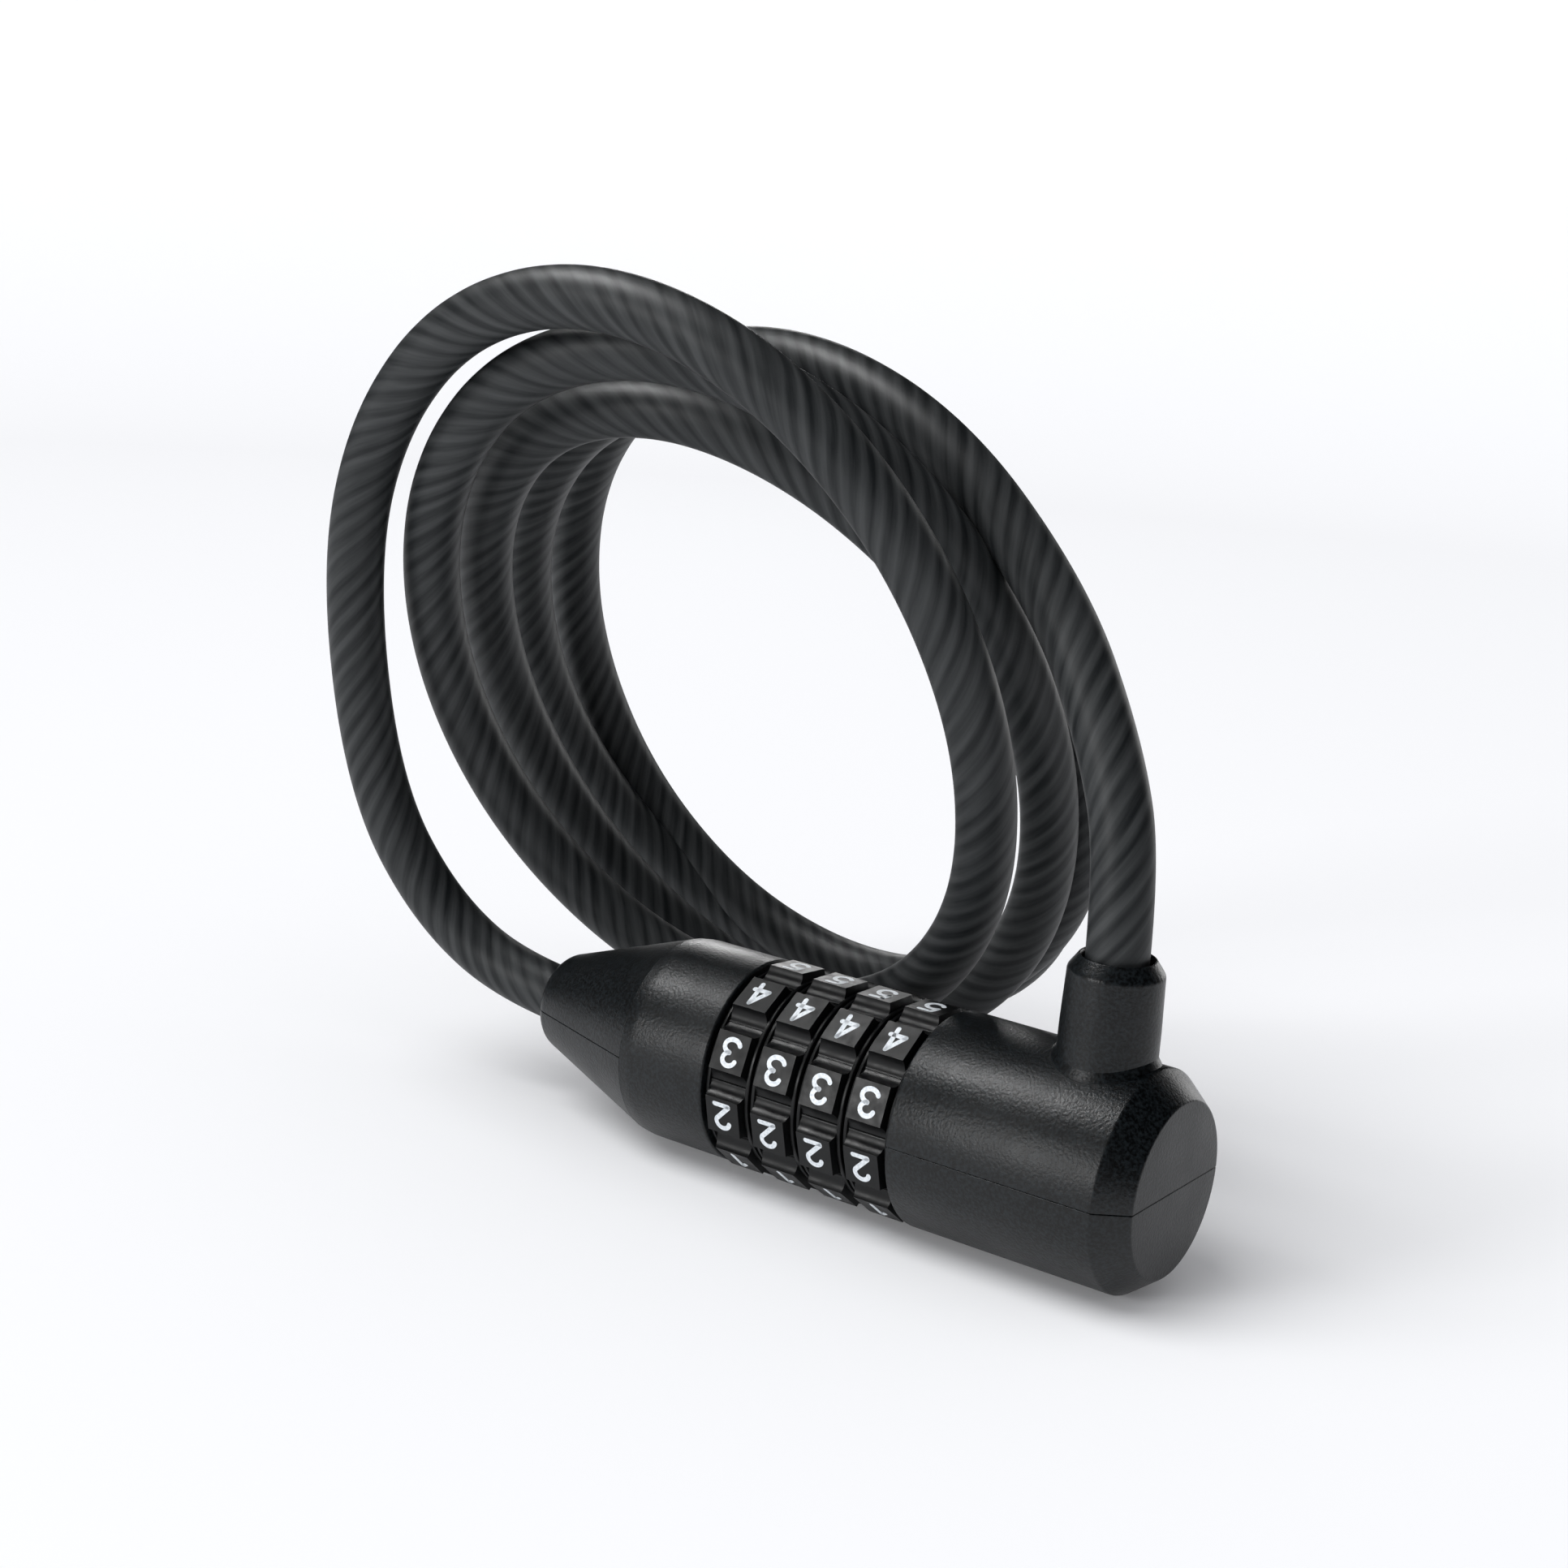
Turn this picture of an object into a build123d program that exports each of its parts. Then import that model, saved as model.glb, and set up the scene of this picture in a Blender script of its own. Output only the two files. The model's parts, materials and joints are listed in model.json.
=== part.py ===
from build123d import *
import math
import os

# Combination cable lock: a barrel with four number dials, a post that holds one
# end of a coiled steel cable, and a plug on the cable's other end that pushes
# into the barrel. The barrel lies along X on the ground plane Z = 0, its closed
# end towards +X, the post up along +Z. All sizes are in millimetres.

# ---- driving dimensions -------------------------------------------------------
barrel_radius = 14.5
lock_length = 97.5
shell_length = 33.3
chamfer_length = 4.0
end_face_radius = 11.4
shell_wall = 2.1
rim_wall = 1.6

dial_count = 4
dial_pitch = 7.33
dial_gap = 0.4
dial_ring_radius = 13.3
block_count = 10
block_corner_radius = 14.45
block_half_angle = 10.5
block_foot_half_angle = 13.5
block_width = 4.8
block_foot_width = 5.7
dial_rest_turns = (-4, -2, 0, -1)

collar_length = 14.05
collar_radius = 14.15
cone_end_radius = 6.9

post_from_end = 11.3
post_foot_radius = 6.35
post_top_radius = 6.1
post_crown_height = 40.1
post_mouth_height = 42.0

cable_diameter = 8.0
core_radius = 2.6
points_per_turn = 12
# The loose turns differ in size and fan out, so each has its own middle, half
# width and half height, and its own depth along Y. Lean moves a turn's top
# forward and its foot back, and skew moves its left side back. Each list has one
# value for each time that the cable passes the coil's foot.
turn_centre_x = (-38, -28, -33, -39, -37, -26)
turn_centre_z = (77, 62, 57, 50, 61, 56)
turn_half_width = (44, 48, 45, 47, 53, 58)
turn_half_height = (44, 50, 52, 45, 53, 49)
turn_depth = (-29, 3, 19, 33, 38, 20)
turn_lean = (-3, 23, 27, 32, 22, 4)
turn_skew = (10, -9, -7, -4, 8, 16)
first_coil_angle = 90
last_coil_angle = 1680
first_turn_end_angle = 390
post_lead_start_angle = 1440
coil_front = (-34.4, -2.0, 55.0)
coil_depth = 40.0
coil_lean = 29.0
coil_outer = (52.5, 62.0)
coil_inner = (40.5, 48.0)
cable_break = 0.5

spindle_radius = 6.5
pin_radius = 4.5
fin_height = 8.0
fin_width = 3.0
fin_length = 2.6
gate_length = 3.0
notch_width = 3.8
running_gap = 0.06
seat_gap = 0.02

# ---- positions along the barrel ----------------------------------------------
x_end = lock_length / 2
x_crease = x_end - chamfer_length
x_rim = x_end - shell_length
x_collar = x_rim - dial_count * dial_pitch
x_cone = x_collar - collar_length
x_tail = -lock_length / 2
x_post = x_end - post_from_end
x_spindle_end = x_rim + 15.5
x_spindle_start = x_collar - 1.7
x_pin_tip = x_rim + 3.6
x_pin_root = x_collar - 9.0
x_plug_core_end = x_cone - 3.0
x_ferrule_tail = x_cone - 12.0
x_ferrule_head = x_cone + 4.4
x_ferrule_floor = x_cone - 3.5
cable_radius = cable_diameter / 2
dial_width = dial_pitch - dial_gap
gate_bore = spindle_radius + running_gap
pocket_radius = fin_height + 0.4
gate_ring_radius = 10.4
ferrule_radius = 4.6
cross_pin_radius = 1.2

barrel_axis = Plane(origin=(0, 0, barrel_radius), x_dir=(1, 0, 0), z_dir=(0, -1, 0))


def turned(points):
    """A solid turned about the barrel's axis from (x, radius) corners."""
    face = barrel_axis * make_face(Polyline(*points, close=True))
    return revolve(face, axis=Axis((0, 0, barrel_radius), (1, 0, 0)), revolution_arc=360)


def rod(x0, x1, radius):
    """A round bar on the barrel's axis."""
    return turned([(x0, 0), (x1, 0), (x1, radius), (x0, radius)])


def ring(x0, x1, outer, inner):
    """A plain ring on the barrel's axis."""
    return turned([(x0, inner), (x1, inner), (x1, outer), (x0, outer)])


def upright(z0, z1, radius, top_radius=None):
    """A round bar or a cone on the post's axis."""
    stand = (Align.CENTER, Align.CENTER, Align.MIN)
    if top_radius is None:
        return Pos(x_post, 0, z0) * Cylinder(radius, z1 - z0, align=stand)
    return Pos(x_post, 0, z0) * Cone(radius, top_radius, z1 - z0, align=stand)


def block(x0, x1, y0, y1, z0, z1):
    """A box from its low and high corners."""
    size = (x1 - x0, y1 - y0, z1 - z0)
    return Pos((x0 + x1) / 2, (y0 + y1) / 2, (z0 + z1) / 2) * Box(*size)


def cross_pin(x, z, radius, half_length):
    """A pin along Y."""
    return Pos(x, 0, z) * Rot(90, 0, 0) * Cylinder(radius, 2 * half_length)


def about_barrel(shape, degrees):
    """Turns a shape about the barrel's axis."""
    return Pos(0, 0, barrel_radius) * Rot(degrees, 0, 0) * Pos(0, 0, -barrel_radius) * shape


# ---- the barrel's closed end: two welded shell halves --------------------------
cavity_radius = barrel_radius - shell_wall
x_cavity_end = x_crease - 0.4
post_bore_radius = cable_radius + 0.05
mouth_radius = cable_radius + 0.45
ferrule_bottom = barrel_radius + 2.0
ferrule_top = post_crown_height - 8.0
big = 2 * lock_length


def shell_outline():
    """The shell's outside, with its wide end chamfer and a small rim break."""
    rim_break = 0.35
    return turned([(x_rim, 0), (x_end, 0), (x_end, end_face_radius), (x_crease, barrel_radius),
                   (x_rim + rim_break, barrel_radius), (x_rim, barrel_radius - rim_break)])


def shell_halves():
    cavity = rod(x_rim + rim_wall, x_cavity_end, cavity_radius)
    front_hole = rod(x_rim - 1, x_rim + rim_wall + 1, spindle_radius + seat_gap)
    post = upright(barrel_radius, post_crown_height, post_foot_radius, post_top_radius)
    crown = upright(post_crown_height, post_mouth_height, post_top_radius, mouth_radius)
    post_bore = upright(0, post_mouth_height + 1, post_bore_radius)
    ferrule_bore = upright(barrel_radius, ferrule_top, ferrule_radius + seat_gap)
    whole = shell_outline() + post + crown - cavity - front_hole
    lower = whole & block(-big, big, -big, big, -1, barrel_radius)
    upper = whole & block(-big, big, -big, big, barrel_radius, big)
    return upper - post_bore - ferrule_bore, lower


# ---- inside the closed end ------------------------------------------------------
core_clear = 0.1
post_pin_z = barrel_radius + 6.0
post_ferrule_floor = post_pin_z + 4.0
post_steel_top = post_mouth_height - 6.0


def body_core():
    """The zinc block that holds the spindle and the cable's ferrule."""
    core = rod(x_rim + rim_wall + core_clear, x_cavity_end - core_clear, cavity_radius - core_clear)
    core -= rod(x_rim, x_spindle_end, spindle_radius + 0.01)
    core -= upright(ferrule_bottom, big, ferrule_radius + seat_gap)
    core -= cross_pin(x_post, post_pin_z, cross_pin_radius, barrel_radius)
    return core


def post_ferrule():
    """The steel sleeve crimped on the cable's end inside the post."""
    sleeve = upright(ferrule_bottom, ferrule_top, ferrule_radius)
    sleeve -= upright(post_ferrule_floor, ferrule_top + 1, core_radius)
    return sleeve - cross_pin(x_post, post_pin_z, cross_pin_radius, barrel_radius)


def spindle_tube():
    """The slotted tube that the dials turn on and the plug's pin slides in."""
    tube = ring(x_spindle_start, x_spindle_end, spindle_radius, pin_radius + running_gap)
    slot_half = fin_width / 2 + 0.15
    slot = block(x_spindle_start - 1, x_pin_tip + 1, -slot_half, slot_half,
                 barrel_radius, 2 * barrel_radius)
    groove = ring(x_collar - 1.0, x_collar - 0.3, spindle_radius + 1, spindle_radius - 0.5)
    strip_bed = block(x_collar + 0.6, x_rim - 0.6, -1.4, 1.4,
                      barrel_radius - spindle_radius - 1, barrel_radius - spindle_radius + 1.2)
    return tube - slot - groove - strip_bed


def retaining_ring():
    """The snap ring that keeps the dials on the spindle, open at the top where the plug's fins pass."""
    snap = ring(x_collar - 0.95, x_collar - 0.35, 8.6, spindle_radius - 0.45)
    mouth_half = fin_width / 2 + 0.7
    mouth = block(x_collar - 2, x_collar, -mouth_half, mouth_half, barrel_radius, 2 * barrel_radius)
    return snap - mouth


def detent_spring():
    """The leaf strip under the dials with one click bump for each of them."""
    bed = barrel_radius - spindle_radius + 1.15
    strip = block(x_collar + 0.8, x_rim - 0.8, -1.2, 1.2, bed - 0.3, bed)
    bump_radius = 1.0
    for index in range(dial_count):
        x_bump = x_collar + dial_gap / 2 + index * dial_pitch + gate_length / 2
        bump = Pos(x_bump, 0, bed - 0.05) * Rot(90, 0, 0) * Cylinder(bump_radius, 2.2)
        strip += bump & block(x_bump - 2, x_bump + 2, -2, 2, bed - 2, bed)
    return strip


# ---- dials -------------------------------------------------------------------------
flat_distance = block_corner_radius * math.cos(math.radians(block_half_angle))


def number_block(x_mid):
    """One raised block: a flat top with slanted sides, standing on the ring."""
    top_half = flat_distance * math.tan(math.radians(block_half_angle))
    foot_level = dial_ring_radius - 0.6
    foot_half = foot_level * math.tan(math.radians(block_foot_half_angle))
    foot = Plane((x_mid, 0, barrel_radius + foot_level)) * Rectangle(block_foot_width, 2 * foot_half)
    top = Plane((x_mid, 0, barrel_radius + flat_distance)) * Rectangle(block_width, 2 * top_half)
    return loft([foot.face(), top.face()])


def dial(index):
    """One number ring with its ten blocks, which stand a few degrees off their click."""
    x0 = x_collar + dial_gap / 2 + index * dial_pitch
    x_mid = x0 + dial_width / 2
    edge = 0.3
    body = turned([(x0, gate_ring_radius + 0.02), (x0 + dial_width, gate_ring_radius + 0.02),
                   (x0 + dial_width, dial_ring_radius - edge), (x0 + dial_width - edge, dial_ring_radius),
                   (x0 + edge, dial_ring_radius), (x0, dial_ring_radius - edge)])
    tooth = number_block(x_mid)
    for step in range(block_count):
        body += about_barrel(tooth, step * 360 / block_count + dial_rest_turns[index])
    return body


def gate_ring(index):
    """The code ring pressed in a dial: a notched gate beside a free pocket."""
    x0 = x_collar + dial_gap / 2 + index * dial_pitch
    x1 = x0 + dial_width
    body = turned([(x0, gate_bore), (x0 + gate_length, gate_bore), (x0 + gate_length, pocket_radius),
                   (x1, pocket_radius), (x1, gate_ring_radius), (x0, gate_ring_radius)])
    notch = block(x0 - 1, x0 + gate_length + 1, -notch_width / 2, notch_width / 2,
                  barrel_radius, barrel_radius + pocket_radius)
    return body - notch


# ---- plug ----------------------------------------------------------------------------
plug_core_radius = 9.6
collar_floor = x_collar - 2.6
collar_mouth_radius = 9.0
cone_seat_radius = collar_radius - 0.25


def plug_pin():
    """The steel shaft with one fin for each dial."""
    shaft = turned([(x_pin_root, 0), (x_pin_tip, 0), (x_pin_tip, pin_radius - 0.8),
                    (x_pin_tip - 0.8, pin_radius), (x_pin_root, pin_radius)])
    for index in range(dial_count):
        x_pocket = x_collar + dial_gap / 2 + index * dial_pitch + gate_length
        x_fin = x_pocket + (dial_width - gate_length - fin_length) / 2
        shaft += block(x_fin, x_fin + fin_length, -fin_width / 2, fin_width / 2,
                       barrel_radius + 2, barrel_radius + fin_height)
    return shaft


def plug_core():
    """The zinc insert that joins the pin to the cable inside the collar."""
    core = rod(x_plug_core_end, collar_floor, plug_core_radius)
    core -= rod(x_pin_root, x_collar, pin_radius + 0.01)
    core -= rod(x_plug_core_end - 1, x_ferrule_head + 0.1, ferrule_radius + seat_gap)
    return core - cross_pin(x_cone, barrel_radius, cross_pin_radius, barrel_radius)


def collar():
    """The full-size sleeve that closes against the first dial."""
    shoulder = 1.2
    sleeve = turned([(x_cone, 0), (x_collar, 0), (x_collar, collar_radius - 0.3),
                     (x_collar - 0.3, collar_radius), (x_cone + shoulder, collar_radius),
                     (x_cone, cone_seat_radius)])
    sleeve -= rod(x_cone - 1, collar_floor + 0.1, plug_core_radius + seat_gap)
    return sleeve - rod(collar_floor, x_collar + 1, collar_mouth_radius)


def cone_halves():
    """The tapered tail, split level into two welded halves."""
    nose = 0.9
    cone = turned([(x_tail, 0), (x_cone, 0), (x_cone, cone_seat_radius),
                   (x_tail + nose, cone_end_radius), (x_tail, cone_end_radius - nose)])
    cone -= rod(x_plug_core_end - seat_gap, x_cone + 1, plug_core_radius + seat_gap)
    cone -= rod(x_ferrule_tail, x_cone, ferrule_radius + seat_gap)
    cone -= rod(x_tail - 1, x_ferrule_tail, cable_radius + 0.05)
    upper = cone & block(-big, big, -big, big, barrel_radius, big)
    lower = cone & block(-big, big, -big, big, -1, barrel_radius)
    return upper, lower


def plug_ferrule():
    """The steel sleeve crimped on the cable's end inside the cone."""
    sleeve = rod(x_ferrule_tail + 0.05, x_ferrule_head, ferrule_radius)
    sleeve -= rod(x_ferrule_tail - 1, x_ferrule_floor, core_radius)
    return sleeve - cross_pin(x_cone, barrel_radius, cross_pin_radius, barrel_radius)


# ---- cable --------------------------------------------------------------------------
def between_turns(values, angle):
    """A turn's value at an angle, straight between one column and the next."""
    column = int(angle // 360)
    share = angle / 360 - column
    return values[column] * (1 - share) + values[column + 1] * share


def coil_point(angle):
    """A point of the coil: 0 is the foot, 90 the left side, 180 the top, 360 the next foot."""
    turn = math.radians(angle)
    x = between_turns(turn_centre_x, angle) - between_turns(turn_half_width, angle) * math.sin(turn)
    y = (between_turns(turn_depth, angle) + between_turns(turn_lean, angle) * math.cos(turn)
         + between_turns(turn_skew, angle) * math.sin(turn))
    z = between_turns(turn_centre_z, angle) - between_turns(turn_half_height, angle) * math.cos(turn)
    return (x, y, z)


def coil_points(first, last):
    """Points of the coil from one angle to another, a twelfth of a turn apart."""
    step = 360 // points_per_turn
    return [coil_point(angle) for angle in range(first, last + 1, step)]


plug_lead_points = [(x_ferrule_tail, 0, barrel_radius), (-57.3, 0, barrel_radius), (-72.0, -3.5, 23.5),
                    (-80.0, -9.5, 41.5)]
post_lead_points = [(31.5, 4.0, 66.0), (x_post, 0, 53.0), (x_post, 0, post_steel_top)]


def middle(a, b):
    return tuple((p + q) / 2 for p, q in zip(a, b))


def cable_tube(name, points):
    """A round cable along straight runs joined by the largest tangent arcs."""
    corners = [Vector(*p) for p in points]
    radii = []
    for before, corner, after in zip(corners, corners[1:], corners[2:]):
        half_turn = math.radians((corner - before).get_angle(after - corner) / 2)
        shorter = min((corner - before).length, (after - corner).length)
        radii.append(0.45 * shorter / math.tan(half_turn))
    path = FilletPolyline(*corners, radius=radii)
    section = Plane(origin=path @ 0, z_dir=path % 0) * Circle(cable_radius)
    tube = sweep(section, path=path)
    expected = math.pi * cable_radius ** 2 * path.length
    print(name, "radii", [round(r) for r in radii], "length", round(path.length),
          "volume share", round(tube.volume / expected, 4))
    return tube


def cable_nodes():
    first = coil_points(first_coil_angle, first_turn_end_angle)
    last = coil_points(post_lead_start_angle, last_coil_angle)
    split = middle(plug_lead_points[-1], first[0])
    above_split = (split[0], split[1], split[2] + cable_break)
    lean = math.radians(coil_lean)
    leaning = Plane(origin=coil_front, x_dir=(1, 0, 0), z_dir=(0, -math.cos(lean), -math.sin(lean)))
    coil = extrude(leaning * (Ellipse(*coil_outer) - Ellipse(*coil_inner)), amount=coil_depth, dir=(0, 1, 0))
    return {
        "cable_plug_lead": cable_tube("plug lead", [*plug_lead_points, split]),
        "cable_first_turn": cable_tube("first turn", [above_split, *first]),
        "cable_coil": coil,
        "cable_post_lead": cable_tube("post lead", [*last, *post_lead_points]),
    }


# ---- write the files -----------------------------------------------------------------
upper_shell, lower_shell = shell_halves()
upper_cone, lower_cone = cone_halves()
parts = {
    "shell_upper": upper_shell,
    "shell_lower": lower_shell,
    "body_core": body_core(),
    "spindle_tube": spindle_tube(),
    "retaining_ring": retaining_ring(),
    "detent_spring": detent_spring(),
    "post_ferrule": post_ferrule(),
    "post_cross_pin": cross_pin(x_post, post_pin_z, cross_pin_radius - seat_gap, 10.0),
    "post_steel_core": upright(post_ferrule_floor, post_steel_top, core_radius - seat_gap),
    "plug_pin": plug_pin(),
    "plug_core": plug_core(),
    "collar": collar(),
    "cone_upper": upper_cone,
    "cone_lower": lower_cone,
    "plug_ferrule": plug_ferrule(),
    "plug_cross_pin": cross_pin(x_cone, barrel_radius, cross_pin_radius - seat_gap, 9.4),
    "plug_steel_core": rod(x_ferrule_tail + 0.05, x_ferrule_floor, core_radius - seat_gap),
}
for number in range(dial_count):
    parts[f"dial_{number + 1}"] = dial(number)
    parts[f"gate_ring_{number + 1}"] = gate_ring(number)

parts.update(cable_nodes())

os.makedirs("parts", exist_ok=True)
for name, solid in parts.items():
    export_step(solid, f"parts/{name}.step")
print(f"{len(parts)} sub-parts written")
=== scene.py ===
# %% [markdown]
# # A combination cable lock
# The lock is a black barrel with four number dials, a post at its closed end and a
# tapered plug at the other. A coiled steel cable in a smoky sleeve joins the plug to
# the post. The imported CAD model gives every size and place; this script gives the
# surfaces: moulded shells with a fine grain, satin dials with white figures, and a
# cable whose strands show through its sleeve.

# %% Load the frame
import json
import math

import bmesh
import bpy
import numpy as np
from mathutils import Matrix, Vector


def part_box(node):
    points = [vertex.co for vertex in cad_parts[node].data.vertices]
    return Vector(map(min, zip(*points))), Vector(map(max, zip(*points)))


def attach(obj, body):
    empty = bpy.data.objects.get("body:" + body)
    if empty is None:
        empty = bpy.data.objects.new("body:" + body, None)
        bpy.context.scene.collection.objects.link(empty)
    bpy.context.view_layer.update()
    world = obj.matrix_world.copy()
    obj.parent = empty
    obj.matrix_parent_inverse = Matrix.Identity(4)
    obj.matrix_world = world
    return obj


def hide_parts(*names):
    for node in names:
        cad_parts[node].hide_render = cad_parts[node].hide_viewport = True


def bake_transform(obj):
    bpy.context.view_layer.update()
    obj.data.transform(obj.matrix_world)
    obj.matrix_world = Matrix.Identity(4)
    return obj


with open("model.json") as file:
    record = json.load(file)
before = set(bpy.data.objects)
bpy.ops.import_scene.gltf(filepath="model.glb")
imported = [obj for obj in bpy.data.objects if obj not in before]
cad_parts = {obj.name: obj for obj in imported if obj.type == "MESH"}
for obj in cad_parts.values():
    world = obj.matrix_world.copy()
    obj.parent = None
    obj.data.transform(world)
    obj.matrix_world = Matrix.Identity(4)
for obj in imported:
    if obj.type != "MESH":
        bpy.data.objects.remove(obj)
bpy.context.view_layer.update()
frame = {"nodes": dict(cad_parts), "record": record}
mm = 0.001

# %% [markdown]
# Every place along the barrel is read from the CAD boxes, so the shells and dials
# built here always meet the parts that they stand for.

# %% Measure the barrel
low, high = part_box("shell_lower")
barrel_r = (high[1] - low[1]) / 2
axis_z = high[2]
x_rim, x_end = low[0], high[0]
x_collar_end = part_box("collar")[1][0]
x_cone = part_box("collar")[0][0]
x_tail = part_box("cone_upper")[0][0]
collar_r = (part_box("collar")[1][1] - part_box("collar")[0][1]) / 2
mouth_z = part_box("shell_upper")[1][2]
x_post = (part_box("post_ferrule")[0][0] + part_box("post_ferrule")[1][0]) / 2
print("barrel radius mm", round(barrel_r / mm, 2), "rim", round(x_rim / mm, 2), "end", round(x_end / mm, 2))


# %% [markdown]
# A material is a small network of nodes. One function adds a node, sets its values
# and links its inputs; another turns an sRGB hex colour to the linear values that
# the shader wants.

# %% Node and colour helpers
def linear(hex_colour):
    """sRGB hex to linear RGBA: (c / 12.92) near black, else ((c + 0.055) / 1.055) to the power 2.4."""
    parts = [int(hex_colour[i:i + 2], 16) / 255 for i in (1, 3, 5)]
    return [c / 12.92 if c <= 0.04045 else ((c + 0.055) / 1.055) ** 2.4 for c in parts] + [1.0]


def add_node(material, kind, settings=None, links=None):
    """Adds one node, sets its properties or its sockets' values, and links its inputs.
    A socket goes by its name or its number."""
    tree = material.node_tree
    node = tree.nodes.new(kind)
    for name, value in (settings or {}).items():
        if isinstance(name, str) and hasattr(node, name):
            setattr(node, name, value)
        else:
            node.inputs[name].default_value = value
    for name, source in (links or {}).items():
        tree.links.new(source, node.inputs[name])
    return node


def new_material(name, colour, roughness, **sockets):
    """A material with one Principled shader; further sockets are set by their names with _ for spaces."""
    material = bpy.data.materials.new(name)
    material.use_nodes = True
    shader = material.node_tree.nodes["Principled BSDF"]
    shader.inputs["Base Color"].default_value = linear(colour)
    shader.inputs["Roughness"].default_value = roughness
    for socket, value in sockets.items():
        shader.inputs[socket.replace("_", " ")].default_value = value
    return material, shader


def link(material, output, socket):
    """Joins a node's output to an input socket."""
    material.node_tree.links.new(output, socket)


# %% [markdown]
# ## The camera
# The camera stands in front and to the right of the closed end, a little above the
# coil, and is turned a few degrees about its own line of sight.

# %% Place the camera
camera_data = bpy.data.cameras.new("camera")
camera_data.sensor_width = 36.0
camera_data.lens = 57.1
camera_data.clip_start = 0.01
camera = bpy.data.objects.new("camera", camera_data)
bpy.context.collection.objects.link(camera)
camera.location = (0.1684, -0.2660, 0.1272)
look = np.array([-0.5517, 0.8037, -0.2231])
look /= np.linalg.norm(look)
right = np.cross(look, [0, 0, 1.0])
right /= np.linalg.norm(right)
up = np.cross(right, look)
camera_roll = math.radians(4.66)
rolled_right = right * math.cos(camera_roll) + up * math.sin(camera_roll)
rolled_up = np.cross(rolled_right, look)
camera.rotation_euler = Matrix(np.column_stack([rolled_right, rolled_up, -look]).tolist()).to_euler()
bpy.context.scene.camera = camera
print("camera field of view, degrees", round(math.degrees(camera_data.angle), 1))


# %% [markdown]
# ## The cable's line
# The cable leaves the plug along the barrel, climbs the left side, and makes four
# and three quarter turns before it comes down into the post. Each turn has a size
# and a place of its own: the lists hold one value, in millimetres, for each time the
# cable passes the coil's foot. An angle of 0 is the foot, 90 the left side and 180 the
# top, and a twelfth of a turn lies between two points. A NURBS line of order three
# then runs smoothly near those points.

# %% The cable's route
cable_r = 4.0 * mm
turn_centre_x = (-38, -28, -33, -39, -37, -26)
turn_centre_z = (77, 62, 57, 50, 61, 56)
turn_half_width = (44, 48, 45, 47, 53, 58)
turn_half_height = (44, 50, 52, 45, 53, 49)
turn_depth = (-29, 3, 19, 33, 38, 20)
turn_lean = (-3, 23, 27, 32, 22, 4)
turn_skew = (10, -9, -7, -4, 8, 16)
plug_lead_points = [(-39.92, 0, 14.5), (-57.3, 0, 14.5), (-72.0, -3.5, 23.5), (-80.0, -9.5, 41.5)]
post_lead_points = [(31.5, 4.0, 66.0), (37.45, 0, 53.0), (37.45, 0, 36.0)]
first_angle, last_angle, angle_step = 90, 1680, 30
angles = np.arange(first_angle, last_angle + 1, angle_step)
points_per_span = 20


def along_turns(values):
    """A turn's value at every angle, straight between one foot of the coil and the next."""
    return np.interp(angles, 360 * np.arange(len(values)), values)


sine, cosine = np.sin(np.radians(angles)), np.cos(np.radians(angles))
coil_x = along_turns(turn_centre_x) - along_turns(turn_half_width) * sine
coil_y = along_turns(turn_depth) + along_turns(turn_lean) * cosine + along_turns(turn_skew) * sine
coil_z = along_turns(turn_centre_z) - along_turns(turn_half_height) * cosine
route = np.vstack([plug_lead_points, np.column_stack([coil_x, coil_y, coil_z]), post_lead_points]) * mm


def smooth_line(points, resolution):
    """Points read from a NURBS curve of order 3 through its ends, as the curve's own mesh gives them."""
    data = bpy.data.curves.new("route", "CURVE")
    data.dimensions = "3D"
    data.resolution_u = resolution
    spline = data.splines.new("NURBS")
    spline.points.add(len(points) - 1)
    spline.points.foreach_set("co", np.column_stack([points, np.ones(len(points))]).ravel())
    spline.order_u = 3
    spline.use_endpoint_u = True
    holder = bpy.data.objects.new("route", data)
    mesh = bpy.data.meshes.new_from_object(holder)
    line = np.empty(len(mesh.vertices) * 3)
    mesh.vertices.foreach_get("co", line)
    bpy.data.objects.remove(holder)
    bpy.data.meshes.remove(mesh)
    return line.reshape(-1, 3)


cable_line = smooth_line(route, points_per_span)
cable_length = float(np.linalg.norm(np.diff(cable_line, axis=0), axis=1).sum())
print("cable length m", round(cable_length, 3), "line points", len(cable_line))


# %% [markdown]
# ## Surfaces on a grid
# Every new surface is a grid of points: rows along one parameter, columns along the
# other. The same function joins the rows with quads, and closes the grid around or
# at its ends where the shape needs it.

# %% Grid to mesh
def grid_faces(rows, columns, wrap_rows=False, wrap_columns=False):
    """Quads of a grid, numbered row by row: corner (i, j), (i, j+1), (i+1, j+1), (i+1, j)."""
    i = np.arange(rows if wrap_rows else rows - 1)[:, None]
    j = np.arange(columns if wrap_columns else columns - 1)[None, :]
    i2, j2 = (i + 1) % rows, (j + 1) % columns
    corners = np.broadcast_arrays(i * columns + j, i * columns + j2, i2 * columns + j2, i2 * columns + j)
    return np.stack(corners, -1).reshape(-1, 4)


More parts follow.
